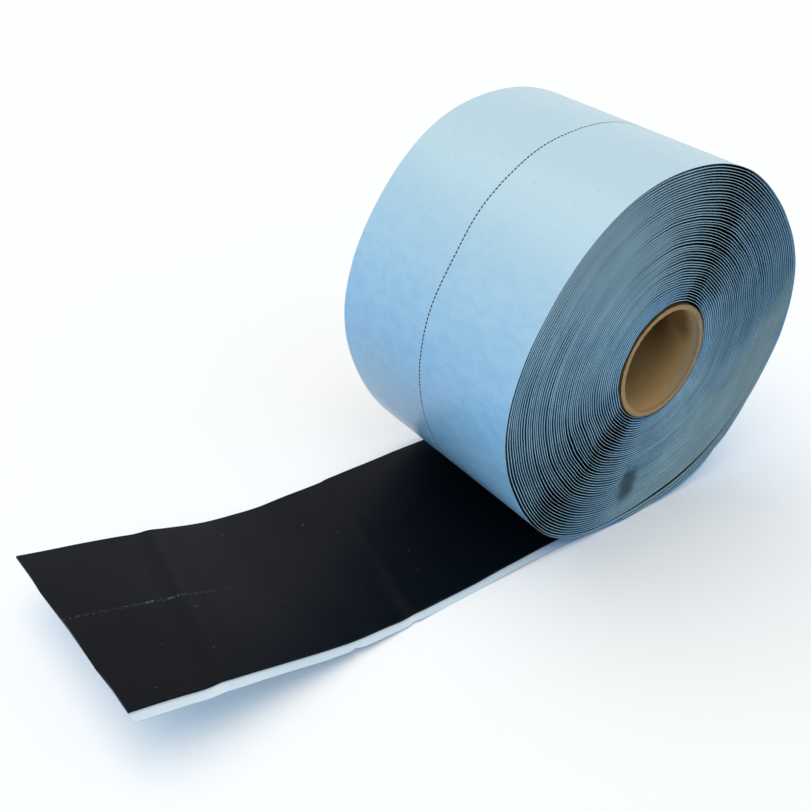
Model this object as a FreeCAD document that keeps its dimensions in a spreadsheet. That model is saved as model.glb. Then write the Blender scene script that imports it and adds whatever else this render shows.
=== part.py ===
import FreeCAD, Part
import math
import os

import Sketcher

# Roll of black butyl tape on a blue release liner, lying on its side with the free end run out on the floor.
# X runs from the free end towards the roll, Y is the core's axis, Z is up. The origin is the middle of the
# footprint on the floor. All lengths are in millimetres.
SIZES = {
    "butyl_width": 150,
    "butyl_thick": 1.6,
    "liner_thick": 0.2,
    "liner_lip": 10,
    "roll_radius": 141,
    "core_bore": 76,
    "core_wall": 4,
    "core_setback": 1,
    "tail_length": 387.5,
    "tail_flat": 201.5,
    "tail_bend": 191,
    "ridge_thick": 1,
    "floor_gap": 0.3,
}
TAIL_SLOPE = 13.3  # degrees
RIDGE_COUNT = 7
# The soft roll sags to the lower right and is a little squashed. Its outline swings in and out round the core's
# axis, for each number of lobes by so much of the roll's radius: the cosine's share, then the sine's.
LOBES = {
    1: (0.0238, -0.0403),
    2: (0.0091, -0.0244),
    3: (0.0088, -0.0111),
    4: (-0.0013, 0.0023),
    5: (-0.0028, 0.0074),
    6: (0.0074, 0.0034),
}
ARC_COUNT = 12

doc = FreeCAD.newDocument("tape_roll")
sheet = doc.addObject("Spreadsheet::Sheet", "sizes")
for row, (alias, number) in enumerate(SIZES.items(), start=1):
    sheet.set(f"A{row}", alias)
    sheet.set(f"B{row}", str(number))
    sheet.setAlias(f"B{row}", alias)
doc.recompute()


def outline_share(angle):
    # The roll's outline at an angle round the axis, as a share of its radius
    return 1 + sum(a * math.cos(k * angle) + b * math.sin(k * angle) for k, (a, b) in LOBES.items())


# How far the outline reaches down and to the right, as shares of the roll's radius
QUARTER = math.pi / 2
spread = [math.radians(degrees) for degrees in range(360)]
floor_share = round(max(-math.sin(a) * outline_share(a) for a in spread), 4)
right_share = round(max(math.cos(a) * outline_share(a) for a in spread), 4)

# Formulas that several pieces share
PITCH = "(sizes.butyl_thick + sizes.liner_thick)"
LINER_WIDTH = "(sizes.butyl_width + 2 * sizes.liner_lip)"
AXIS_X = f"(sizes.tail_length - sizes.roll_radius * {right_share}) / 2"
AXIS_HEIGHT = f"(sizes.roll_radius * {floor_share} + sizes.floor_gap)"
CORE_RADIUS = "(sizes.core_bore / 2 + sizes.core_wall)"
TURNS_REACH = f"(sizes.roll_radius - {PITCH} - sizes.ridge_thick - {CORE_RADIUS})"
SLOPE_RUN = f"(sizes.tail_length - sizes.tail_flat - sizes.tail_bend * sin({TAIL_SLOPE}))"

# The same lengths as numbers: where each outline is drawn before its dimensions take hold
pitch = SIZES["butyl_thick"] + SIZES["liner_thick"]
core_radius = SIZES["core_bore"] / 2 + SIZES["core_wall"]
turns_reach = SIZES["roll_radius"] - pitch - SIZES["ridge_thick"] - core_radius
slope = math.radians(TAIL_SLOPE)
slope_length = (SIZES["tail_length"] - SIZES["tail_flat"] - SIZES["tail_bend"] * math.sin(slope)) / math.cos(slope)

# How a sketch numbers its own origin and the points of an edge
ORIGIN = (-1, 1)
START, END, CENTRE = range(1, 4)


def point(x, y):
    return FreeCAD.Vector(x, y, 0)


def line(sketch, a, b):
    return sketch.addGeometry(Part.LineSegment(a, b))


def circle(sketch, centre, radius):
    return sketch.addGeometry(Part.Circle(centre, FreeCAD.Vector(0, 0, 1), radius))


def arc(sketch, centre, radius, first, last):
    whole = Part.Circle(centre, FreeCAD.Vector(0, 0, 1), radius)
    return sketch.addGeometry(Part.ArcOfCircle(whole, first, last))


def tie(sketch, kind, *places):
    sketch.addConstraint(Sketcher.Constraint(kind, *places))


def dimension(sketch, name, formula, drawn, kind, *places):
    # A named dimension that follows the sheet
    index = sketch.addConstraint(Sketcher.Constraint(kind, *places, drawn))
    sketch.renameConstraint(index, name)
    sketch.setExpression(f"Constraints.{name}", formula)


def new_body(label, height):
    body = doc.addObject("PartDesign::Body", label)
    body.Label = label
    body.setExpression("Placement.Base.x", AXIS_X)
    body.setExpression("Placement.Base.z", height)
    return body


def origin_plane(body, role):
    return [feature for feature in body.Origin.OriginFeatures if feature.Role == role][0]


def new_sketch(body, name, role):
    sketch = body.newObject("Sketcher::SketchObject", name)
    sketch.AttachmentSupport = [(origin_plane(body, role), "")]
    sketch.MapMode = "FlatFace"
    return sketch


def pad_across(body, sketch, width):
    # Thickens an outline evenly to both sides of the roll's middle
    pad = body.newObject("PartDesign::Pad", sketch.Label + "_width")
    pad.Profile = sketch
    pad.SideType = "Symmetric"
    pad.setExpression("Length", width)


def cardboard_core():
    body = new_body("cardboard_core", AXIS_HEIGHT)
    ring = new_sketch(body, "core_ring", "XZ_Plane")
    outside = circle(ring, point(0, 0), core_radius)
    bore = circle(ring, point(0, 0), SIZES["core_bore"] / 2)
    for edge in (outside, bore):
        tie(ring, "Coincident", edge, CENTRE, *ORIGIN)
    dimension(ring, "outside_radius", CORE_RADIUS, core_radius, "Radius", outside)
    dimension(ring, "bore_radius", "sizes.core_bore / 2", SIZES["core_bore"] / 2, "Radius", bore)
    pad_across(body, ring, f"{LINER_WIDTH} - 2 * sizes.core_setback")


def turn_edge(sketch, name, inset, inset_size):
    # One turn of the squashed spiral, as far inside the roll's outside as the inset. It is a chain of arcs, each
    # through three spots. It creeps inwards by one tape thickness, and a step at the bottom closes it, where the
    # free end leaves.
    spots, places = [], []
    for k in range(2 * ARC_COUNT + 1):
        share = k / (2 * ARC_COUNT)
        angle = 4 * QUARTER * share - QUARTER
        swing = round(outline_share(angle), 6)
        reach = f"(sizes.roll_radius * {swing} - {PITCH} * {share:.6f} - {inset})"
        place = point(math.cos(angle), math.sin(angle)) * (SIZES["roll_radius"] * swing - pitch * share - inset_size)
        spot = sketch.addGeometry(Part.Point(place), True)
        ways = (("x", "DistanceX", math.cos(angle), place.x), ("y", "DistanceY", math.sin(angle), place.y))
        for way, kind, part_of, drawn in ways:
            dimension(sketch, f"{name}_{way}_{k}", f"{reach} * {part_of:.6f}", drawn, kind, *ORIGIN, spot, START)
        spots.append(spot)
        places.append(place)
    for k in range(0, 2 * ARC_COUNT, 2):
        part = sketch.addGeometry(Part.Arc(*places[k:k + 3]))
        tie(sketch, "Coincident", part, START, spots[k], START)
        tie(sketch, "Coincident", part, END, spots[k + 2], START)
        tie(sketch, "PointOnObject", spots[k + 1], START, part)
    step = line(sketch, places[-1], places[0])
    tie(sketch, "Coincident", step, START, spots[-1], START)
    tie(sketch, "Coincident", step, END, spots[0], START)


def wound_turns():
    # The wound butyl is one block with the spiral's outline. The liner's edges stand out of both its ends: the outer
    # turn's, and rings between it and the core, whose centres drift with the sag.
    body = new_body("wound_turns", AXIS_HEIGHT)
    block = new_sketch(body, "wound_butyl", "XZ_Plane")
    turn_edge(block, "outside", "0", 0)
    hole = circle(block, point(0, 0), core_radius)
    tie(block, "Coincident", hole, CENTRE, *ORIGIN)
    dimension(block, "hole_radius", CORE_RADIUS, core_radius, "Radius", hole)
    pad_across(body, block, "sizes.butyl_width")

    edges = new_sketch(body, "liner_edges", "XZ_Plane")
    turn_edge(edges, "outside", "0", 0)
    turn_edge(edges, "inside", f"({PITCH} + sizes.ridge_thick)", pitch + SIZES["ridge_thick"])
    for k in range(RIDGE_COUNT):
        share = k / RIDGE_COUNT
        drift = [SIZES["roll_radius"] * swing * share for swing in LOBES[1]]
        inner = core_radius + turns_reach * share
        formula = f"{CORE_RADIUS} + {TURNS_REACH} * {share}"
        sides = (("inner", formula, inner),
                 ("outer", f"{formula} + sizes.ridge_thick", inner + SIZES["ridge_thick"]))
        for side, reach, radius in sides:
            ring = circle(edges, point(*drift), radius)
            dimension(edges, f"{side}_radius_{k}", reach, radius, "Radius", ring)
            if k == 0:
                tie(edges, "Coincident", ring, CENTRE, *ORIGIN)
                continue
            for kind, swing, place in zip(("DistanceX", "DistanceY"), LOBES[1], drift):
                drift_formula = f"sizes.roll_radius * {swing * share:.6f}"
                dimension(edges, f"{side}_{kind}_{k}", drift_formula, place, kind, *ORIGIN, ring, CENTRE)
    pad_across(body, edges, LINER_WIDTH)


def tail(label, height, width, under, thick, under_size, thick_size):
    # One layer of the free end, seen along the roll's axis: flat from under the roll, then bent up and straight to
    # the cut. Both layers bend about the same centre, so they lie on each other all the way.
    body = new_body(label, height)
    side = new_sketch(body, label + "_side", "XZ_Plane")
    flat = SIZES["tail_flat"]
    radius = SIZES["tail_bend"] - under_size
    hub = point(-flat, radius)
    leave = point(-math.sin(slope), -math.cos(slope))
    run = point(-math.cos(slope), math.sin(slope)) * slope_length
    below, above = hub + leave * radius, hub + leave * (radius - thick_size)
    edges = [
        line(side, point(0, 0), point(-flat, 0)),
        arc(side, hub, radius, 3 * QUARTER - slope, 3 * QUARTER),
        line(side, below, below + run),
        line(side, below + run, above + run),
        line(side, above + run, above),
        arc(side, hub, radius - thick_size, 3 * QUARTER - slope, 3 * QUARTER),
        line(side, point(-flat, thick_size), point(0, thick_size)),
        line(side, point(0, thick_size), point(0, 0)),
    ]
    bottom, lower, rise, cut, fall, upper, top, root = edges
    tie(side, "Coincident", bottom, START, *ORIGIN)
    tie(side, "Coincident", lower, CENTRE, upper, CENTRE)
    # An arc is drawn from its high end to its low end
    joints = [(bottom, END, lower, END), (lower, START, rise, START), (rise, END, cut, START), (cut, END, fall, START),
              (fall, END, upper, START), (upper, END, top, START), (top, END, root, START), (root, END, bottom, START)]
    for joint in joints:
        kind = "Tangent" if {joint[0], joint[2]} & {lower, upper} else "Coincident"
        tie(side, kind, *joint)
    tie(side, "Horizontal", bottom)
    tie(side, "Horizontal", top)
    tie(side, "Vertical", root)
    tie(side, "Parallel", rise, fall)
    tie(side, "Perpendicular", rise, cut)
    dimension(side, "flat_length", "sizes.tail_flat", flat, "DistanceX", bottom, END, *ORIGIN)
    dimension(side, "thickness", thick, thick_size, "Distance", cut)
    dimension(side, "bend_radius", f"sizes.tail_bend - {under}", radius, "Radius", lower)
    bend_reach = f"(sizes.tail_bend - {under}) * sin({TAIL_SLOPE})"
    dimension(side, "bend_reach", bend_reach, radius * math.sin(slope), "DistanceX", lower, START, lower, CENTRE)
    dimension(side, "slope_length", f"{SLOPE_RUN} / cos({TAIL_SLOPE})", slope_length, "Distance", rise)
    pad_across(body, side, width)


cardboard_core()
wound_turns()
tail("release_liner", "0", LINER_WIDTH, "0", "sizes.liner_thick", 0, SIZES["liner_thick"])
tail("butyl_strip", "sizes.liner_thick", "sizes.butyl_width", "sizes.liner_thick", "sizes.butyl_thick",
     SIZES["liner_thick"], SIZES["butyl_thick"])
doc.recompute()

for item in doc.Objects:
    if "Invalid" in item.State or "Error" in item.State:
        raise RuntimeError(f"{item.Name} is in state {item.State}")
os.makedirs("parts", exist_ok=True)
for body in doc.findObjects("PartDesign::Body"):
    if body.Shape.isNull() or not body.Shape.isValid():
        raise RuntimeError(f"{body.Label} has no good shape")
    body.Shape.exportStep(f"parts/{body.Label}.step")
    print(body.Label, round(body.Shape.Volume, 1), body.Shape.BoundBox)
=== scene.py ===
import math

import bpy
import numpy as np
from mathutils import Matrix, Vector


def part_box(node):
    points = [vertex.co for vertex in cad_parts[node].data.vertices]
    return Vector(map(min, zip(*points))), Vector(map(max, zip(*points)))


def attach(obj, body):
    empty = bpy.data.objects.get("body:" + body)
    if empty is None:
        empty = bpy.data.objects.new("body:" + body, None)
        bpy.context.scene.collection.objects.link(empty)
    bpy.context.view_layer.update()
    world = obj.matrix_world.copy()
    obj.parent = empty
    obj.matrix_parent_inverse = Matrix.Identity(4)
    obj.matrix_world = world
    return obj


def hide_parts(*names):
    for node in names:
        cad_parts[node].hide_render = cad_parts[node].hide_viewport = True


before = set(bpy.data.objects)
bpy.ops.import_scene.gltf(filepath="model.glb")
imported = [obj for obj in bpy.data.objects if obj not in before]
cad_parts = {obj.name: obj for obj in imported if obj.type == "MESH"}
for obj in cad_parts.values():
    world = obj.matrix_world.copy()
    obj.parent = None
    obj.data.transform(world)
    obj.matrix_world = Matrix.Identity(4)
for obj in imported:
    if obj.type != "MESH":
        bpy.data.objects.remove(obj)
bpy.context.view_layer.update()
coreLow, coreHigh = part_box("cardboard_core")
scene = bpy.context.scene
mm = 0.001
axisX, axisHeight = (coreLow.x + coreHigh.x) / 2, (coreLow.z + coreHigh.z) / 2
print("frame loaded, roll axis at", round(axisX, 4), round(axisHeight, 4))

# The wound roll, in mm and degrees. Angles are seen from the front and run anticlockwise from the right.
roll = {
    "radius": 141.05,
    "lobes": {1: (1.35, -5.69), 2: (1.29, -3.44), 3: (1.24, -1.56),
              4: (-0.18, 0.32), 5: (-0.39, 1.04), 6: (1.04, 0.48)},
    "creaseAt": (-115, -106, -100, -94, -79, -73, -64, -55, -49, -44, -37, -31, -22, -10, 0, 10, 30),
    "creases": (0, 0.4, -1.2, -1.7, -1.8, 0.7, 2.9, 3.0, -0.2, 1.2, 0.1, -1.0, 0.6, 3.0, 1.9, 0.8, 0),
    "loosePlace": -62, "looseSpread": 27, "looseGaps": (0.0, 1.8, 3.2, 7.0),
    "firstRadius": 43.1, "turns": 51, "pitch": 1.9, "linerThick": 0.2,
    "linerHalf": 85.0, "butylHalf": 75.0, "step": 4.0,
    "oval": 1.3, "ovalTurn": 210, "skew": (1.9, -2.3),   # the core lies a little askew in the roll
}
turns = roll["turns"]


def bell(value, centre, width):
    return np.exp(-(((value - centre) / width) ** 2))


def outline(angle):
    # Radius of the outer turn in mm: the mean radius, plus a cos(k angle) + b sin(k angle) for k lobes
    radius = np.full_like(angle, roll["radius"])
    for k, (a, b) in roll["lobes"].items():
        radius = radius + a * np.cos(k * angle) + b * np.sin(k * angle)
    return radius


def ripple(seed, angle, travel, lobes, drift, size):
    # Mean of eight waves cos(k angle + w travel + phase) with random k, w and phase, times the size
    rng = np.random.default_rng(seed)
    total = np.zeros_like(angle)
    for _ in range(8):
        k, w, phase = rng.integers(*lobes), rng.uniform(-drift, drift), rng.uniform(0, 2 * math.pi)
        total += np.cos(k * angle + w * travel + phase)
    return total / 8 * size


def turnAngle(travel):
    # Travel counts turns from the core. The tape winds clockwise and leaves the roll at the bottom.
    return 1.5 * math.pi + 2 * math.pi * (turns - travel)


def looseShare(angle):
    # 1 where the last turns sag away at the lower right, falling to 0 round it
    degrees = (np.degrees(angle) - roll["loosePlace"] + 180) % 360 - 180
    return bell(degrees, 0, roll["looseSpread"])


def coreOval(angle):
    # Radius added by the core's slight oval, in mm
    return roll["oval"] * np.cos(2 * angle - math.radians(roll["ovalTurn"]))


def turnRadius(travel):
    # Radius in mm: a share of the way from the core to the outline, a little wavy, less the loose turns' gaps
    angle = turnAngle(travel)
    share = travel / turns
    first = roll["firstRadius"]
    lift = 0.42 * roll["pitch"] * (1 + np.sin(angle)) * share
    wave = ripple(3, angle, travel, (2, 9), 0.35, 0.9) + ripple(5, angle, travel, (0, 4), 2.2, 0.7)
    calm = np.clip(4 * share * (1 - share), 0, 1)
    left = turns - travel
    gap = np.interp(left, (0.1, 1.1, 2.1, 3.1), roll["looseGaps"]) * np.clip(travel / (turns - 3), 0, 1)
    bent = first + coreOval(angle) * (1 - share) ** 2
    return bent + (outline(angle) - first) * share + lift + wave * calm - gap * looseShare(angle)


def skewed(points, share):
    # Points in metres, moved with the core: nothing in the middle of the width, the skew at the near end
    part = -points[:, :, 1] / (roll["linerHalf"] * mm) * np.clip(1 - share, 0, 1) ** 2
    points[:, :, 0] += part * roll["skew"][0] * mm
    points[:, :, 2] += part * roll["skew"][1] * mm
    return points


def onRoll(travel, radius):
    angle = turnAngle(travel)
    return axisX + radius * mm * np.cos(angle), axisHeight + radius * mm * np.sin(angle)


def travelSteps(first, last, step):
    # Turns counted from the core, spaced evenly along the tape's length, and that length in mm
    fine = np.linspace(first, last, 60000)
    x, z = onRoll(fine, turnRadius(fine))
    length = np.concatenate([[0], np.cumsum(np.hypot(np.diff(x), np.diff(z)))]) / mm
    even = np.linspace(0, length[-1], int(length[-1] / step) + 1)
    return np.interp(even, length, fine), even


def edgeLean(travel, side):
    # How far the liner's standing edge leans out or in at its tip, in mm; like from one turn to the next
    angle = turnAngle(travel)
    slow = ripple(20 + side, angle, travel, (3, 12), 0.5, 0.8)
    return slow + ripple(30 + side, angle, travel, (12, 30), 1.0, 0.45)


def bothLeans(travel, y):
    # The near edge's lean where y is negative, the far edge's elsewhere
    return np.where(y < 0, edgeLean(travel, 0)[:, None], edgeLean(travel, 1)[:, None])


def addSurface(name, points, material, replaced=(), along=None, across=None, release=None, sharp=40):
    # points is a grid: rows along the piece, columns round its section. Neighbours make a quad, the section
    # is joined to itself, and one face closes each end. The sign of the volume inside turns faces outwards.
    rows, cols = points.shape[:2]
    i, j = np.meshgrid(np.arange(rows - 1), np.arange(cols), indexing="ij")
    k = (j + 1) % cols
    quads = np.stack([i * cols + j, (i + 1) * cols + j, (i + 1) * cols + k, i * cols + k], -1).reshape(-1, 4)
    caps = np.stack([np.arange(cols), (rows - 1) * cols + np.arange(cols)[::-1]])
    flat = points.reshape(-1, 3)
    a, b, c, d = (flat[quads[:, n]] for n in range(4))
    if (np.cross(b, c) * a).sum() + (np.cross(c, d) * a).sum() < 0:
        quads, caps = quads[:, ::-1], caps[:, ::-1]
    loops = np.concatenate([quads.ravel(), caps.ravel()])
    sizes = np.concatenate([np.full(len(quads), 4), [cols, cols]])
    mesh = bpy.data.meshes.new(name)
    mesh.vertices.add(len(flat))
    mesh.vertices.foreach_set("co", flat.astype(np.float32).ravel())
    mesh.loops.add(len(loops))
    mesh.loops.foreach_set("vertex_index", loops.astype(np.int32))
    mesh.polygons.add(len(sizes))
    mesh.polygons.foreach_set("loop_start", np.concatenate([[0], np.cumsum(sizes)[:-1]]).astype(np.int32))
    mesh.polygons.foreach_set("use_smooth", np.ones(len(sizes), bool))
    if along is not None:
        layer = mesh.uv_layers.new(name="tape")
        pair = np.stack([np.broadcast_to(along, (rows, cols)).ravel()[loops],
                         np.broadcast_to(across, (rows, cols)).ravel()[loops]], -1) * mm
        layer.uv.foreach_set("vector", pair.astype(np.float32).ravel())
    if release is not None:
        face = mesh.attributes.new("releaseSide", "FLOAT", "POINT")
        face.data.foreach_set("value", np.broadcast_to(release, (rows, cols)).astype(np.float32).ravel())
    mesh.update(calc_edges=True)
    mesh.validate()
    mesh.set_sharp_from_angle(angle=math.radians(sharp))
    mesh.materials.append(material)
    piece = bpy.data.objects.new(name, mesh)
    scene.collection.objects.link(piece)
    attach(piece, "root")
    if replaced:
        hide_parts(*replaced)
    print(name, len(flat), "points")
    return piece


# Short ways to place a node and its values; each returns the output that is used next
def addNode(tree, kind, inputs=None, **settings):
    node = tree.nodes.new(kind)
    for key, value in settings.items():
        setattr(node, key, value)
    for key, value in (inputs or {}).items():
        if isinstance(value, bpy.types.NodeSocket):
            tree.links.new(value, node.inputs[key])
        else:
            node.inputs[key].default_value = value
    return node


def calc(tree, operation, *values):
    return addNode(tree, "ShaderNodeMath", dict(enumerate(values)), operation=operation).outputs[0]


def times(tree, *values):
    result = values[0]
    for value in values[1:]:
        result = calc(tree, "MULTIPLY", result, value)
    return result


def between(tree, value, low, high, start=0.0, end=1.0):
    # Smooth step from start at low to end at high
    values = {"Value": value, "From Min": low, "From Max": high, "To Min": start, "To Max": end}
    return addNode(tree, "ShaderNodeMapRange", values, interpolation_type="SMOOTHSTEP").outputs["Result"]


def noise(tree, vector, scale, detail=3.0, rough=0.55, distortion=0.0):
    node = addNode(tree, "ShaderNodeTexNoise", {"Vector": vector, "Scale": scale, "Detail": detail,
                                                "Roughness": rough, "Distortion": distortion})
    return node.outputs["Fac"]


def mixColor(tree, mask, a, b):
    node = addNode(tree, "ShaderNodeMix", {0: mask, 6: a, 7: b}, data_type="RGBA")
    return node.outputs[2]


def stretch(tree, vector, scale):
    return addNode(tree, "ShaderNodeVectorMath", {0: vector, 1: scale}, operation="MULTIPLY").outputs[0]


def awayFrom(tree, place, origin, scale):
    # From the origin to the place, each direction times its own scale
    apart = addNode(tree, "ShaderNodeVectorMath", {0: place, 1: origin}, operation="SUBTRACT").outputs[0]
    return stretch(tree, apart, scale)


def lengthOf(tree, vector):
    return addNode(tree, "ShaderNodeVectorMath", {0: vector}, operation="LENGTH").outputs["Value"]


def objectPlace(tree):
    # Object coordinates as a vector, and as X, Y and Z
    place = addNode(tree, "ShaderNodeTexCoord").outputs["Object"]
    return place, addNode(tree, "ShaderNodeSeparateXYZ", {0: place}).outputs


def bump(tree, shader, height, strength, distance):
    node = addNode(tree, "ShaderNodeBump", {"Height": height, "Strength": strength, "Distance": distance})
    tree.links.new(node.outputs[0], shader.inputs["Normal"])


def newGroup(name, inputs, outputs):
    group = bpy.data.node_groups.new(name, "ShaderNodeTree")
    for label, kind in inputs.items():
        group.interface.new_socket(label, in_out="INPUT", socket_type="NodeSocket" + kind)
    for label in outputs:
        group.interface.new_socket(label, in_out="OUTPUT", socket_type="NodeSocketFloat")
    return group, group.nodes.new("NodeGroupInput").outputs, group.nodes.new("NodeGroupOutput").inputs


def newMaterial(name):
    material = bpy.data.materials.new(name)
    material.use_nodes = True
    tree = material.node_tree
    return material, tree, tree.nodes["Principled BSDF"]


def mottleGroup():
    # Slow clouds with finer flecks in them, as in paper and film
    group, start, end = newGroup("mottle", {"Vector": "Vector", "Size": "Float"}, ("Cloud", "Fleck"))
    share = calc(group, "DIVIDE", 1.0, start["Size"])
    scaled = addNode(group, "ShaderNodeVectorMath", {0: start["Vector"], "Scale": share},
                     operation="SCALE").outputs[0]
    group.links.new(between(group, noise(group, scaled, 1.0, 4.0, 0.6, 0.4), 0.35, 0.65), end["Cloud"])
    group.links.new(between(group, noise(group, scaled, 3.0, 3.0, 0.6), 0.58, 0.70), end["Fleck"])
    return group


def fibreGroup():
    # Fine paper grain, drawn out one way: a coarse and a fine noise added up
    group, start, end = newGroup("fibre", {"Vector": "Vector", "Stretch": "Vector"}, ("Height",))
    drawn = stretch(group, start["Vector"], start["Stretch"])
    fine = noise(group, drawn, 2600.0, 2.0, 0.6)
    coarse = noise(group, drawn, 600.0, 4.0, 0.7)
    group.links.new(calc(group, "MULTIPLY_ADD", fine, 0.4, coarse), end["Height"])
    return group


def perforationGroup():
    # A swaying row of slits along the tape: Slit where the paper is cut, Lip where it stands up beside a cut
    group, start, end = newGroup("perforation", {"Along": "Float", "Across": "Float", "Spacing": "Float",
                                                 "Width": "Float", "Sway": "Float"}, ("Slit", "Lip"))
    along, across, half = start["Along"], start["Across"], start["Width"]
    place = addNode(group, "ShaderNodeCombineXYZ", {"X": along}).outputs[0]
    sway = times(group, calc(group, "SUBTRACT", noise(group, place, 11.0, 1.0), 0.5), start["Sway"])
    jitter = times(group, calc(group, "SUBTRACT", noise(group, place, 500.0, 1.0), 0.5), 0.0012)
    off = calc(group, "SUBTRACT", across, calc(group, "ADD", sway, jitter))
    beat = calc(group, "FRACT", calc(group, "DIVIDE", along, start["Spacing"]))
    middle = calc(group, "ABSOLUTE", calc(group, "SUBTRACT", beat, 0.5))
    far = calc(group, "DIVIDE", calc(group, "ABSOLUTE", off), half)
    slit = times(group, between(group, far, 0.7, 1.2, 1.0, 0.0), between(group, middle, 0.33, 0.39, 1.0, 0.0))
    beside = times(group, between(group, far, 1.5, 3.2, 1.0, 0.0), between(group, off, 0.0, 0.0001, 0.3, 1.0))
    whole = calc(group, "SUBTRACT", 1.0, slit)
    lip = times(group, beside, whole, between(group, middle, 0.34, 0.46, 1.0, 0.1))
    group.links.new(slit, end["Slit"])
    group.links.new(lip, end["Lip"])
    return group


mottle, fibre, perforation = mottleGroup(), fibreGroup(), perforationGroup()
print("shared patterns ready")

linerFinish = {
    "blue": (0.25, 0.55, 0.87, 1), "pale": (0.31, 0.61, 0.90, 1), "paintedSheen": (0.45, 0.64, 0.73, 1),
    "deep": (0.235, 0.49, 0.78, 1), "coat": 0.15,
    "release": (0.67, 0.78, 0.85, 1), "edge": (0.66, 0.78, 0.86, 1), "slit": (0.003, 0.009, 0.020, 1),
    "paintedShadeBlack": (0.003, 0.004, 0.007, 1), "slitSpacing": 2.9 * mm, "slitWidth": 0.6 * mm, "sway": 8 * mm,
    "cloudSize": 0.008, "paintedSheenFrom": 0.13, "paintedSheenTo": 0.285,
    "glossFrom": 0.03, "glossTo": 0.075, "bandLength": 0.09,   # these six are in metres
}


def useGroup(tree, group, inputs):
    return addNode(tree, "ShaderNodeGroup", inputs, node_tree=group).outputs


def slitsOn(tree, along, across, finish):
    # The row of slits, with the spacing, width and sway of a finish
    row = useGroup(tree, perforation, {"Along": along, "Across": across, "Spacing": finish["slitSpacing"],
                                       "Width": finish["slitWidth"], "Sway": finish["sway"]})
    return row["Slit"], row["Lip"]


def tapeCoordinates(tree):
    # Along and across the tape in metres, from the piece's own map, and which face of the paper it is
    uv = addNode(tree, "ShaderNodeUVMap", uv_map="tape").outputs[0]
    parts = addNode(tree, "ShaderNodeSeparateXYZ", {0: uv})
    side = addNode(tree, "ShaderNodeAttribute", attribute_name="releaseSide").outputs["Fac"]
    return uv, parts.outputs["X"], parts.outputs["Y"], side


def linerMaterial():
    # Blue paper, cloudy, finely grained, half glossy, perforated along its middle, paler on its release face
    material, tree, shader = newMaterial("liner paper")
    uv, along, across, side = tapeCoordinates(tree)
    xyz = objectPlace(tree)[1]
    height = xyz["Z"]
    flattened = stretch(tree, uv, (1.0, 0.6, 1.0))
    clouds = useGroup(tree, mottle, {"Vector": flattened, "Size": linerFinish["cloudSize"]})
    grain = useGroup(tree, fibre, {"Vector": uv, "Stretch": (0.6, 1.0, 1.0)})
    slit, lip = slitsOn(tree, along, across, linerFinish)
    color = mixColor(tree, times(tree, clouds["Cloud"], 0.9), linerFinish["blue"], linerFinish["pale"])
    # Painted highlight: the paper is paled towards the top of the roll, where the light from above falls on
    # it
    paintedSheen = between(tree, calc(tree, "MULTIPLY_ADD", clouds["Cloud"], 0.008, height),
                    linerFinish["paintedSheenFrom"], linerFinish["paintedSheenTo"])
    color = mixColor(tree, paintedSheen, color, linerFinish["paintedSheen"])
    color = mixColor(tree, times(tree, clouds["Fleck"], 0.4), color, linerFinish["deep"])
    # The release face is bluer in the band beside the roll
    band = times(tree, between(tree, xyz["X"], axisX - linerFinish["bandLength"], axisX), 0.8)
    color = mixColor(tree, side, color, mixColor(tree, band, linerFinish["release"], linerFinish["blue"]))
    # Painted highlight: a paler line along the paper's edges on the roll
    rimHighlight = between(tree, calc(tree, "ABSOLUTE", across), 0.0842, 0.0850)
    color = mixColor(tree, times(tree, rimHighlight, 0.35), color, linerFinish["edge"])
    color = mixColor(tree, times(tree, lip, 0.15), color, linerFinish["edge"])
    # Near the floor the slits catch the light and the paper is glossier; the paper's cut edge is painted
    # dark, as shade along its thin edge
    low = between(tree, height, linerFinish["glossFrom"], linerFinish["glossTo"], 1.0, 0.0)
    hole = mixColor(tree, low, linerFinish["slit"], linerFinish["edge"])
    color = mixColor(tree, times(tree, slit, 0.95), color, hole)
    cut = times(tree, side, calc(tree, "SUBTRACT", 1.0, side), 4.0)
    color = mixColor(tree, cut, color, linerFinish["slit"])
    tree.links.new(color, shader.inputs["Base Color"])
    rough = calc(tree, "MULTIPLY_ADD", clouds["Cloud"], 0.10, 0.30)
    tree.links.new(calc(tree, "MULTIPLY_ADD", slit, 0.6, rough), shader.inputs["Roughness"])
    coat = calc(tree, "MULTIPLY_ADD", low, 0.5, linerFinish["coat"])
    tree.links.new(times(tree, coat, calc(tree, "SUBTRACT", 1.0, slit)), shader.inputs["Coat Weight"])
    shader.inputs["Coat Roughness"].default_value = 0.12
    height = calc(tree, "MULTIPLY_ADD", noise(tree, uv, 16.0, 2.0, 0.5, 0.6), 14.0, grain["Height"])
    height = calc(tree, "MULTIPLY_ADD", lip, 3.0, height)
    height = calc(tree, "MULTIPLY_ADD", slit, -6.0, height)
    bump(tree, shader, height, 0.35, 0.00012)
    return material


# The wound edges' colours, and a dark patch low on the end face by the nip, painted shade with some black
# smear: its middle, and one over its half sizes
edgeFinish = {
    "tip": (0.58, 0.88, 1.0, 1), "grey": (0.33, 0.44, 0.43, 1), "nearCore": (0.12, 0.38, 0.72, 1),
    "outer": ((0.05, 0.26, 0.52, 1), (0.12, 0.34, 0.58, 1)), "outerTopHighlight": (0.42, 0.56, 0.64, 1),
    "inner": ((0.04, 0.16, 0.32, 1), (0.08, 0.22, 0.38, 1)),
    "nipShadeAt": (axisX - 0.0045, -0.085, axisHeight - 0.1045), "nipShadeScale": (110.0, 20.0, 70.0),
}


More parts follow.
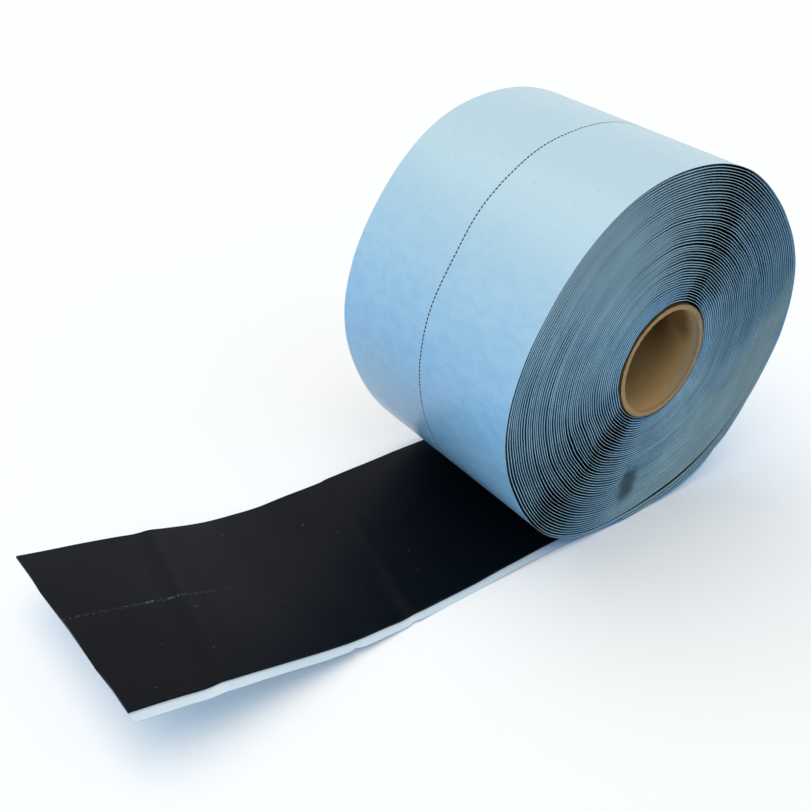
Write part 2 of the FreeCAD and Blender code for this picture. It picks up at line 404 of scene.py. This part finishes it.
def edgeMaterial():
    # The wound paper's standing edges: pale cut tip, partly a painted highlight, then the face, painted
    # nearly black a little below the tip as shade deep in the gaps between turns
    material, tree, shader = newMaterial("liner edges")
    uv, along, across, side = tapeCoordinates(tree)
    place, xyz = objectPlace(tree)
    depth = calc(tree, "SUBTRACT", roll["linerHalf"] * mm, calc(tree, "ABSOLUTE", across))
    patch = noise(tree, place, 26.0, 3.0, 0.6)
    streak = noise(tree, stretch(tree, uv, (14.0, 300.0, 1.0)), 1.0, 3.0, 0.6)
    rightward = calc(tree, "SUBTRACT", xyz["X"], axisX)
    upward = calc(tree, "SUBTRACT", xyz["Z"], axisHeight)
    high = between(tree, upward, 0.02, 0.10)
    # Outer faces are pale at the top, a painted highlight where light from above falls; inner ones greyer at
    # the lower right, and both are bluer near the core
    outer = mixColor(tree, high, mixColor(tree, patch, *edgeFinish["outer"]), edgeFinish["outerTopHighlight"])
    face = mixColor(tree, side, outer, mixColor(tree, patch, *edgeFinish["inner"]))
    down = calc(tree, "MULTIPLY_ADD", patch, 0.05, calc(tree, "SUBTRACT", rightward, upward))
    face = mixColor(tree, times(tree, side, between(tree, down, 0.12, 0.175)), face, edgeFinish["grey"])
    radius = lengthOf(tree, awayFrom(tree, place, (axisX, 0, axisHeight), (1.0, 0.0, 1.0)))
    face = mixColor(tree, between(tree, radius, 0.046, 0.064, 0.8, 0.0), face, edgeFinish["nearCore"])
    # Painted shade: the nearly black shade of the gaps starts lower on the inner faces and at the top, along
    # a ragged line
    ragged = calc(tree, "MULTIPLY_ADD", streak, 0.0008, -0.0004)
    low = calc(tree, "MULTIPLY_ADD", side, 0.0007, calc(tree, "MULTIPLY_ADD", high, 0.0004, 0.0005))
    gapShade = between(tree, calc(tree, "SUBTRACT", calc(tree, "ADD", depth, ragged), low), 0.0, 0.0009)
    color = mixColor(tree, times(tree, gapShade, 0.97), face, linerFinish["paintedShadeBlack"])
    # Painted highlight: the tip is paler, partly the paper's cut edge and partly light catching it, patchy
    # and dimmer towards the right
    tip = between(tree, depth, 0.0003, 0.0007, 1.0, 0.0)
    worn = calc(tree, "MULTIPLY_ADD", noise(tree, place, 45.0, 3.0, 0.7), 0.9, 0.35)
    worn = calc(tree, "MINIMUM", worn, 1.0)
    rightwardDimming = between(tree, rightward, 0.03, 0.09, 1.0, 0.6)
    color = mixColor(tree, times(tree, tip, worn, rightwardDimming), color, edgeFinish["tip"])
    # Painted shade: a dark patch low on the end face by the nip, with some black smear
    away = lengthOf(tree, awayFrom(tree, place, edgeFinish["nipShadeAt"], edgeFinish["nipShadeScale"]))
    nipShadeSmudge = calc(tree, "MULTIPLY_ADD", noise(tree, place, 130.0, 3.0, 0.6), 1.6, away)
    nipShadeSmudge = between(tree, nipShadeSmudge, 1.3, 2.2, 1.0, 0.0)
    color = mixColor(tree, times(tree, nipShadeSmudge, 0.6), color, linerFinish["paintedShadeBlack"])
    tree.links.new(color, shader.inputs["Base Color"])
    tree.links.new(calc(tree, "MULTIPLY_ADD", patch, 0.2, 0.35), shader.inputs["Roughness"])
    shader.inputs["Specular IOR Level"].default_value = 0.2
    bump(tree, shader, noise(tree, uv, 900.0, 3.0), 0.2, 0.0001)
    return material


butylFinish = {
    "deep": (0.0001, 0.0011, 0.0042, 1), "worn": (0.0014, 0.0024, 0.0042, 1), "speck": (0.16, 0.18, 0.19, 1),
    "imprintSlope": 0.064, "imprintStart": -17.8 * mm, "slitSpacing": 3.4 * mm, "slitWidth": 0.5 * mm,
    "sway": 3 * mm, "faceGloss": 0.34, "woundGloss": 0.45,
}


def butylMaterial(name, gloss, imprint):
    # Black sticky rubber: soft sheen, small pits, dust specks, and on the free end the slits pressed in
    material, tree, shader = newMaterial(name)
    along, across = tapeCoordinates(tree)[1:3]
    place = objectPlace(tree)[0]
    cloud = noise(tree, place, 22.0, 3.0, 0.6, 0.5)
    color = mixColor(tree, cloud, butylFinish["deep"], butylFinish["worn"])
    speck = between(tree, noise(tree, place, 240.0, 2.0, 0.5), 0.74, 0.80)
    color = mixColor(tree, times(tree, speck, 0.35), color, butylFinish["speck"])
    grain = noise(tree, place, 1500.0, 3.0, 0.7)
    height = calc(tree, "MULTIPLY_ADD", noise(tree, place, 70.0, 3.0, 0.6, 0.4), 5.0, grain)
    if imprint:
        # Where the paper's slits were pressed in: a broken row of specks that slants across the last part
        row = calc(tree, "MULTIPLY_ADD", along, butylFinish["imprintSlope"], butylFinish["imprintStart"])
        slit, lip = slitsOn(tree, along, calc(tree, "SUBTRACT", across, row), butylFinish)
        broken = times(tree, between(tree, noise(tree, place, 620.0, 2.0, 0.6), 0.48, 0.58),
                       between(tree, noise(tree, place, 60.0, 2.0), 0.42, 0.58, 0.3, 1.0))
        mark = times(tree, calc(tree, "MAXIMUM", lip, slit), broken, between(tree, along, 0.26, 0.345),
                     between(tree, along, 0.345, 0.375, 1.0, 0.4))
        color = mixColor(tree, times(tree, mark, 0.8), color, butylFinish["speck"])
        height = calc(tree, "MULTIPLY_ADD", mark, 6.0, height)
    tree.links.new(color, shader.inputs["Base Color"])
    tree.links.new(calc(tree, "MULTIPLY_ADD", cloud, 0.12, gloss), shader.inputs["Roughness"])
    shader.inputs["Specular IOR Level"].default_value = 0.085
    bump(tree, shader, height, 0.35, 0.00008)
    return material


linerPaper, linerEdges = linerMaterial(), edgeMaterial()
tailBlack = butylMaterial("butyl face", butylFinish["faceGloss"], True)
woundBlack = butylMaterial("butyl edges", butylFinish["woundGloss"], False)
print("tape materials ready")


def buildWoundLiner():
    # Section: six points out along the paper's outer face, six back along its release face, on the spiral
    travel, length = travelSteps(0.0, turns - 1.0, roll["step"])
    half, foot = roll["linerHalf"], roll["butylHalf"] + 0.5
    y = np.array([-half, -0.5 * (half + foot), -foot, foot, 0.5 * (half + foot), half])
    y = np.concatenate([y, y[::-1]])
    inside = np.repeat([0.0, 1.0], 6)
    lift = np.clip((np.abs(y) - foot) / (half - foot), 0, 1) ** 1.4
    lean = bothLeans(travel, y) * lift
    slip = ripple(41, turnAngle(travel), travel, (1, 5), 0.9, 0.9)[:, None]
    x, z = onRoll(travel[:, None], turnRadius(travel)[:, None] - roll["linerThick"] * inside + lean)
    points = skewed(np.stack([x, (y + slip) * mm, z], -1), travel[:, None] / turns)
    addSurface("wound_liner", points, linerEdges, ("wound_turns",), length[:, None], y, inside)


def buildWoundButyl():
    # Section: a strip with a soft rounded edge at both ends, on the same spiral, one liner further in
    travel, length = travelSteps(0.02, turns - 0.001, roll["step"])
    half, liner, pitch = roll["butylHalf"], roll["linerThick"], roll["pitch"]
    y = np.array([0.4 - half, -half - 0.4, 0.4 - half, half - 0.4, half + 0.4, half - 0.4])
    down = np.array([liner, (liner + pitch) / 2, pitch, pitch, (liner + pitch) / 2, liner])
    bead = ripple(51, turnAngle(travel), travel, (5, 30), 3.0, 1.0)[:, None]
    x, z = onRoll(travel[:, None], turnRadius(travel)[:, None] - down)
    points = skewed(np.stack([x, (y + bead * np.sign(y)) * mm, z], -1), travel[:, None] / turns)
    addSurface("wound_butyl", points, woundBlack, (), length[:, None], y)


# The free end, from the roll to its cut, in mm. The heights are its under side's, at even steps.
tail = {
    "start": 1.5, "reachFar": 393.1, "reachNear": 389.1,
    "heightFar": (0.0, 0.7, 1.1, 1.2, 0.1, 0.0, 5.5, 17.7, 28.4, 38.2),
    "heightNear": (0.0, 1.6, 1.8, 0.3, 0.0, 2.2, 8.5, 19.5, 29.2, 39.2),
    "folds": ((0.448, 0.043, 0.014, 0.5), (0.478, 0.043, 0.022, -0.5), (0.816, 0.039, 0.014, 0.6),
              (0.846, 0.039, 0.022, -0.6), (0.63, 0.02, 0.03, 0.3)),   # place, slant, width as shares, and mm
    "butylNear": -74.5, "butylFar": 74.8, "butylThick": 1.5, "gap": 0.02, "linerFar": 75.2, "narrows": 0.14,
    "linerNear": (-85.0, -82.6, -80.8, -80.2, -80.2, -80.6, -81.4, -81.8, -81.8, -82.0, -82.2),
    "nicks": ((0.503, 1.2), (0.625, 1.6)),   # place as a share, and mm
}


def softCurve(values, at):
    # Natural cubic spline through evenly spaced values; at runs from 0 to 1
    y = np.array(values, float)
    n = len(y)
    system = np.eye(n)
    inner = np.arange(1, n - 1)
    system[inner, inner], system[inner, inner - 1], system[inner, inner + 1] = 4, 1, 1
    right = np.zeros(n)
    right[1:-1] = 6 * (y[:-2] - 2 * y[1:-1] + y[2:])
    bend = np.linalg.solve(system, right)
    t = np.clip(at, 0, 1) * (n - 1)
    i = np.clip(t.astype(int), 0, n - 2)
    f = t - i
    return (1 - f) * y[i] + f * y[i + 1] + ((f**3 - f) * bend[i + 1] + ((1 - f) ** 3 - (1 - f)) * bend[i]) / 6


def tailHeight(share, across):
    # Between the near edge's curve and the far edge's, plus soft folds across it and a faint waviness
    side = across / (2 * roll["butylHalf"]) + 0.5
    height = softCurve(tail["heightNear"], share) * (1 - side) + softCurve(tail["heightFar"], share) * side
    for place, slant, width, size in tail["folds"]:
        height = height + size * bell(share + slant * (2 * side - 1), place, width)
    rng = np.random.default_rng(8)
    for _ in range(10):
        kx, ky, phase = rng.uniform(8, 40), rng.uniform(-14, 14), rng.uniform(0, 2 * math.pi)
        height = height + 0.05 * np.cos(kx * share + ky * side + phase)
    return np.maximum(height, 0.0)


def tailPoint(share, across, above):
    # A point above the under side, straight out from its slope, in metres
    side = across / (2 * roll["butylHalf"]) + 0.5
    reach = tail["reachNear"] + (tail["reachFar"] - tail["reachNear"]) * side
    step = 0.002
    slope = (tailHeight(share + step, across) - tailHeight(share - step, across)) / (2 * step * reach)
    slope = slope * np.clip((share - 0.01) / 0.02, 0, 1)
    size = np.sqrt(1 + slope**2)
    x = axisX + (tail["start"] - share * reach + above * slope / size) * mm
    return np.stack([x, across * mm + 0 * x, (tailHeight(share, across) + above / size) * mm], -1)


def buildOuterLiner():
    # One strip of paper: the last turn round the roll, then out along the floor under the black. Its outer
    # face runs from one edge to the other, and its release face back. Only the edges are creased.
    travel, length = travelSteps(turns - 1.0, turns, 3.0)
    columns = 61
    y = np.linspace(-1, 1, columns)
    y = np.concatenate([y, y[::-1]])
    inside = np.repeat([0.0, 1.0], columns)
    across = y * roll["linerHalf"]
    lift = np.clip((np.abs(across) - 75) / 10, 0, 1) ** 1.4
    flare = np.clip((np.abs(across) - 45) / 40, 0, 1) ** 1.6
    degrees = (np.degrees(turnAngle(travel)) + 180) % 360 - 180
    crease = np.interp(degrees, roll["creaseAt"], roll["creases"])
    crease = (crease * np.clip((length[-1] - length) / 40, 0, 1))[:, None]
    beyond = np.clip((np.abs(across) - 76.5) / 8.5, 0, 1)
    lean = bothLeans(travel, y) * lift * 0.6
    x, z = onRoll(travel[:, None], turnRadius(travel)[:, None] - roll["linerThick"] * inside + lean
                  + crease * np.where(crease < 0, beyond, flare))
    onTheRoll = np.stack([x, across * mm + 0 * x, np.maximum(z, 0.0)], -1)
    share = np.linspace(tail["start"] / tail["reachFar"], 1, 150)[1:, None]
    narrow = np.clip(share / tail["narrows"], 0, 1)
    near = softCurve(tail["linerNear"], share)
    near = near + sum(size * bell(share, at, 0.006) for at, size in tail["nicks"])
    far = roll["linerHalf"] + (tail["linerFar"] - roll["linerHalf"]) * narrow
    onTheFloor = tailPoint(share, near + (far - near) * (y + 1) / 2, roll["linerThick"] * inside)
    points = np.concatenate([onTheRoll, onTheFloor])
    along = np.concatenate([length, length[-1] + share[:, 0] * tail["reachFar"]])
    addSurface("outer_liner", points, linerPaper, ("release_liner",), along[:, None],
               points[:, :, 1] / mm, inside)


def buildButylStrip():
    # The free end's black strip on the liner: flat face, a slightly ragged cut
    columns = 56
    y = np.linspace(-1, 1, columns)
    y = np.concatenate([y, y[::-1]])
    high = np.repeat([1.0, 0.0], columns)
    share = np.linspace(tail["start"] / tail["reachFar"], 1, 200)[:, None]
    wavy = 0.3 * np.sin(31 * share + 1) * np.sin(17 * share)
    across = tail["butylNear"] + wavy + (tail["butylFar"] - tail["butylNear"] - 2.2 * wavy) * (y + 1) / 2
    points = tailPoint(share, across, roll["linerThick"] + tail["gap"] + high * tail["butylThick"])
    ragged = np.interp(y, np.linspace(-1, 1, 9), (0, 0.6, -0.3, 0.2, 0.5, -0.2, -0.6, 0.1, 0.0))
    points[:, :, 0] += ragged * np.clip((share - 0.97) / 0.03, 0, 1) * mm
    along = share * tail["reachFar"]
    addSurface("butyl_face", points, tailBlack, ("butyl_strip",), along, across)


core = {"outside": 42.0, "bore": 38.0, "plies": 9, "plyStep": 0.12, "proud": 2.0, "fuzz": 0.05,   # mm
        "brown": (0.54, 0.33, 0.13, 1), "tan": (0.74, 0.48, 0.22, 1), "grey": (0.34, 0.33, 0.26, 1),
        "shade": (0.040, 0.026, 0.010, 1), "cut": (0.36, 0.25, 0.14, 1), "line": (0.03, 0.022, 0.015, 1)}


def coreMaterial():
    # Brown board: fibres along the bore, soft stains, greyer on the right near the mouth as painted light,
    # dim deep inside and towards the top as painted shade, fuzzy ends
    material, tree, shader = newMaterial("core board")
    place = addNode(tree, "ShaderNodeTexCoord").outputs["Object"]
    middle = {"Vector": place, "Location": (-axisX, 0.0, -axisHeight)}
    centred = addNode(tree, "ShaderNodeMapping", middle).outputs[0]
    xyz = addNode(tree, "ShaderNodeSeparateXYZ", {0: centred}).outputs
    fibres = noise(tree, stretch(tree, centred, (1.0, 0.25, 1.0)), 900.0, 4.0, 0.7)
    cloud = noise(tree, centred, 55.0, 4.0, 0.65, 0.6)
    shadeVariation = between(tree, noise(tree, centred, 24.0, 3.0, 0.6, 0.5), 0.42, 0.66)
    color = mixColor(tree, fibres, core["brown"], core["tan"])
    color = mixColor(tree, times(tree, cloud, 0.5), color, core["brown"])
    out = calc(tree, "ABSOLUTE", xyz["Y"])
    mouth = between(tree, out, 0.073, 0.085)
    # Painted light: the right wall near the mouth is greyed, as the sky's light on it
    rightward = between(tree, xyz["X"], 0.010, 0.036)
    color = mixColor(tree, times(tree, rightward, mouth, 0.75), color, core["grey"])
    # Painted shade: the bore darkens deep inside and on its upper wall near the mouth, less at the bottom
    # where light falls in
    lower = between(tree, xyz["Z"], -0.038, 0.004, 0.2, 1.0)
    upper = between(tree, xyz["Z"], -0.014, 0.008, 0.0, 0.8)
    deep = times(tree, between(tree, out, 0.050, 0.086, 1.0, 0.0), lower)
    under = times(tree, between(tree, out, 0.072, 0.084, 1.0, 0.0), upper)
    dim = times(tree, calc(tree, "MAXIMUM", deep, under), calc(tree, "MULTIPLY_ADD", shadeVariation, 0.08, 0.88))
    color = mixColor(tree, dim, color, core["shade"])
    end = between(tree, out, 0.0835, 0.0839)
    color = mixColor(tree, times(tree, end, calc(tree, "MULTIPLY_ADD", fibres, 0.5, 0.4)), color, core["cut"])
    # Painted shadow: a dark line round the core's outer edge, the shade of the gap between core and roll
    radius = tapeCoordinates(tree)[2]
    color = mixColor(tree, times(tree, between(tree, radius, 0.0411, 0.0418), 0.85), color, core["line"])
    tree.links.new(color, shader.inputs["Base Color"])
    shader.inputs["Roughness"].default_value = 0.8
    shader.inputs["Specular IOR Level"].default_value = 0.02
    bump(tree, shader, calc(tree, "MULTIPLY_ADD", cloud, 2.0, fibres), 0.5, 0.0002)
    return material


def buildCore():
    # A tube turned round the axis: bore, far cut end, outside, near cut end. The plies show as steps.
    far = (coreHigh.y - coreLow.y) / 2 / mm
    near = -far - core["proud"]
    angle = np.linspace(0, 2 * math.pi, 181)[:, None]
    depth = np.linspace(near + 0.6, far - 0.6, 40)
    endRadius = np.linspace(core["bore"], core["outside"], 2 * core["plies"] + 1)
    ply = np.where(np.arange(len(endRadius)) % 2 == 0, 0.0, core["plyStep"])
    bore, outside = np.full(40, core["bore"]), np.full(40, core["outside"])
    radius = np.concatenate([bore, endRadius, outside, endRadius[::-1]])
    across = np.concatenate([depth, far - ply, depth[::-1], near + ply[::-1]])
    rough = np.random.default_rng(12).normal(0, core["fuzz"], (180, len(radius)))
    rough = np.concatenate([rough, rough[:1]]) * ((across < near + 0.3) | (across > far - 0.3))
    turned = radius + coreOval(angle) + rough
    x, z = axisX + turned * mm * np.cos(angle), axisHeight + turned * mm * np.sin(angle)
    points = skewed(np.stack([x, (across + 2 * rough) * mm, z], -1), np.zeros_like(angle))
    around = angle * core["outside"]
    board = coreMaterial()
    addSurface("core_tube", points, board, ("cardboard_core",), around, radius, sharp=50)


buildWoundLiner()
buildWoundButyl()
buildOuterLiner()
buildButylStrip()
buildCore()
print("pieces ready")

studio = {
    "skyColor": (0.66, 0.84, 1.0, 1), "skyStrength": 0.64,
    "keyColor": (1.0, 0.84, 0.67), "keyStrength": 1.80, "keyAngle": 75, "keyFrom": (-0.30, 0.15, 0.94),
    "floorColor": (0.90, 0.90, 0.90, 1), "floorGlow": 0.12, "floorHalf": 12.0,
    "cameraFromAxis": (-0.51708, -0.4331, 0.48545), "lens": 45.537,
    "right": (0.78849, -0.6113, 0.06777), "up": (0.29449, 0.47198, 0.83097),
}


def addFloor():
    # A wide flat sheet. The camera sees it a little brighter than it is lit, so that it fades into the white
    size = studio["floorHalf"]
    material, tree, shader = newMaterial("studio floor")
    place = addNode(tree, "ShaderNodeTexCoord").outputs["Object"]
    base = mixColor(tree, noise(tree, place, 3.0, 2.0), studio["floorColor"], (0.91, 0.91, 0.91, 1))
    tree.links.new(base, shader.inputs["Base Color"])
    shader.inputs["Roughness"].default_value = 0.9
    shader.inputs["Specular IOR Level"].default_value = 0.0
    shader.inputs["Emission Color"].default_value = (1, 1, 1, 1)
    seen = addNode(tree, "ShaderNodeLightPath").outputs["Is Camera Ray"]
    tree.links.new(calc(tree, "MULTIPLY", seen, studio["floorGlow"]), shader.inputs["Emission Strength"])
    mesh = bpy.data.meshes.new("studio_floor")
    corners = [(-size, -size, 0), (size, -size, 0), (size, size, 0), (-size, size, 0)]
    mesh.from_pydata(corners, [], [(0, 1, 2, 3)])
    mesh.materials.append(material)
    floor = bpy.data.objects.new("studio_floor", mesh)
    scene.collection.objects.link(floor)


def addSky():
    # Cool soft light from all sides; the camera and reflections see plain white
    world = bpy.data.worlds.new("studio")
    world.use_nodes = True
    tree = world.node_tree
    light = tree.nodes["Background"]
    light.inputs["Color"].default_value = studio["skyColor"]
    light.inputs["Strength"].default_value = studio["skyStrength"]
    white = addNode(tree, "ShaderNodeBackground", {"Color": (1, 1, 1, 1), "Strength": 1.0})
    path = addNode(tree, "ShaderNodeLightPath").outputs
    mirrored = calc(tree, "MAXIMUM", path["Is Glossy Ray"], path["Is Transmission Ray"])
    seen = calc(tree, "MAXIMUM", path["Is Camera Ray"], mirrored)
    mixed = addNode(tree, "ShaderNodeMixShader", {0: seen, 1: light.outputs[0], 2: white.outputs[0]})
    tree.links.new(mixed.outputs[0], tree.nodes["World Output"].inputs["Surface"])
    scene.world = world


def addKey():
    lamp = bpy.data.lights.new("key light", "SUN")
    lamp.energy, lamp.color = studio["keyStrength"], studio["keyColor"]
    lamp.angle = math.radians(studio["keyAngle"])
    item = bpy.data.objects.new("key light", lamp)
    item.rotation_euler = Vector(studio["keyFrom"]).to_track_quat("Z", "Y").to_euler()
    scene.collection.objects.link(item)


def addCamera():
    data = bpy.data.cameras.new("camera")
    data.sensor_width, data.lens = 36, studio["lens"]
    camera = bpy.data.objects.new("camera", data)
    right, up = Vector(studio["right"]).normalized(), Vector(studio["up"]).normalized()
    place = Vector(studio["cameraFromAxis"]) + Vector((axisX, 0, 0))
    turned = Matrix((right, up, right.cross(up))).transposed().to_4x4()
    camera.matrix_world = Matrix.Translation(place) @ turned
    scene.collection.objects.link(camera)
    scene.camera = camera


addFloor()
addSky()
addKey()
addCamera()
scene.view_settings.view_transform = "Standard"
print("studio ready")
